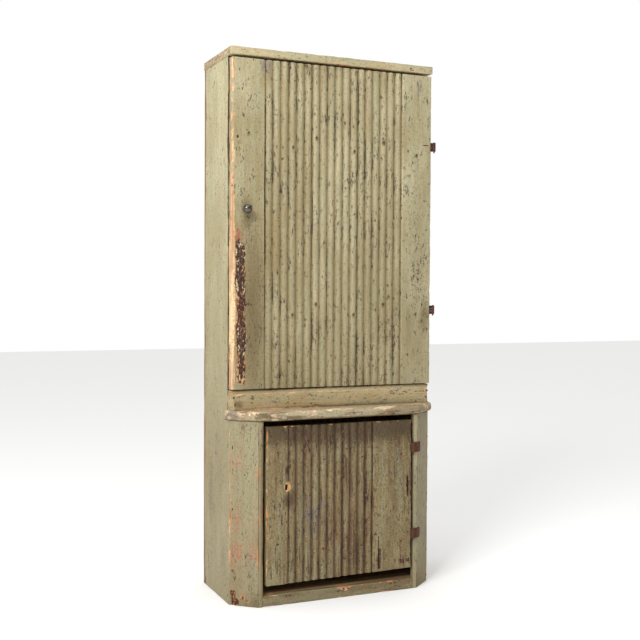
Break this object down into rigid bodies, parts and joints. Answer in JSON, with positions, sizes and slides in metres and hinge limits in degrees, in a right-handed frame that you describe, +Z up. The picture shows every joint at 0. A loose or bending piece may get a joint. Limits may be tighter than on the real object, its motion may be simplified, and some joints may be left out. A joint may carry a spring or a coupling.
{
  "type": "pantry cabinet",
  "caption": "Tall step-front pantry cabinet with an overlay reeded upper door, an inset reeded lower door, canted lower corners and shelves inside.",
  "frame": {"origin": "on the floor, midway across the case and midway through the overall depth", "axes": "+Z up, +Y towards the back, +X to the right as seen facing the doors; the doors face -Y"},
  "size_m": [0.801, 0.374, 1.9],
  "materials": {
    "case_paint": "worn matt sage-green paint over old wood",
    "door_paint": "worn matt sage-green paint, bare at the arrises, dirt in the reeds",
    "lower_door_paint": "heavily worn green-brown paint with brown streaks",
    "waist_wood": "paint rubbed through to bare wood",
    "bare_wood": "aged unpainted inside wood",
    "dark_iron": "dark, handled iron",
    "rusty_iron": "rust-brown iron",
    "nail_iron": "dull nail heads"
  },
  "bodies": {
    "case": {"side_left": "case_paint", "side_right": "case_paint", "top_board": "case_paint", "back_board_1": "bare_wood", "back_board_2": "bare_wood", "back_board_3": "bare_wood", "back_board_4": "bare_wood", "floor_board": "bare_wood", "waist_board": "waist_wood", "mid_rail": "case_paint", "base_rail": "case_paint", "corner_board_left": "case_paint", "corner_board_right": "case_paint", "stile_left": "case_paint", "stile_right": "case_paint", "lower_shelf": "bare_wood", "upper_shelf_1": "bare_wood", "upper_shelf_2": "bare_wood", "upper_shelf_3": "bare_wood", "lower_shelf_cleats": "bare_wood", "upper_shelf_1_cleats": "bare_wood", "upper_shelf_2_cleats": "bare_wood", "upper_shelf_3_cleats": "bare_wood", "floor_cleats": "bare_wood", "top_nails": "nail_iron", "front_nails": "nail_iron", "back_nails": "nail_iron", "hinge_screws": "nail_iron", "upper_hinge_bottom_case_leaf": "dark_iron", "upper_hinge_top_case_leaf": "dark_iron", "lower_hinge_bottom_case_leaf": "rusty_iron", "lower_hinge_top_case_leaf": "rusty_iron", "upper_hinge_pins": "dark_iron", "lower_hinge_pins": "rusty_iron", "latch_keeper": "dark_iron", "strike_plate": "dark_iron"},
    "upper_door": {"upper_door_board_1": "door_paint", "upper_door_board_2": "door_paint", "upper_door_board_3": "door_paint", "upper_door_batten_bottom": "bare_wood", "upper_door_batten_top": "bare_wood", "upper_door_nails": "nail_iron", "upper_door_screws": "nail_iron", "upper_hinge_bottom_door_leaf": "dark_iron", "upper_hinge_top_door_leaf": "dark_iron"},
    "knob": {"knob": "dark_iron", "knob_spindle": "dark_iron", "latch_bar": "dark_iron"},
    "lower_door": {"lower_door_board_1": "lower_door_paint", "lower_door_board_2": "lower_door_paint", "lower_door_board_3": "lower_door_paint", "lower_door_batten_bottom": "bare_wood", "lower_door_batten_top": "bare_wood", "lower_door_nails": "nail_iron", "lower_door_screws": "nail_iron", "lower_hinge_bottom_door_leaf": "rusty_iron", "lower_hinge_top_door_leaf": "rusty_iron", "lock_case": "dark_iron"},
    "lock_bolt": {"lock_bolt": "dark_iron"}
  },
  "joints": [
    {"name": "upper_door_hinge", "type": "hinge", "parent": "case", "child": "upper_door", "pos_m": [0.396, -0.118, 1.3], "axis": [0, 0, 1], "range_deg": [0, 170]},
    {"name": "lower_door_hinge", "type": "hinge", "parent": "case", "child": "lower_door", "pos_m": [0.2848, -0.181, 0.358], "axis": [0, 0, 1], "range_deg": [0, 160]},
    {"name": "knob_turn", "type": "hinge", "parent": "upper_door", "child": "knob", "pos_m": [-0.3365, -0.115, 1.352], "axis": [0, 1, 0], "range_deg": [0, 90]},
    {"name": "lock_bolt_slide", "type": "slide", "parent": "lower_door", "child": "lock_bolt", "axis": [-1, 0, 0], "range_m": [0, 0.024]}
  ]
}
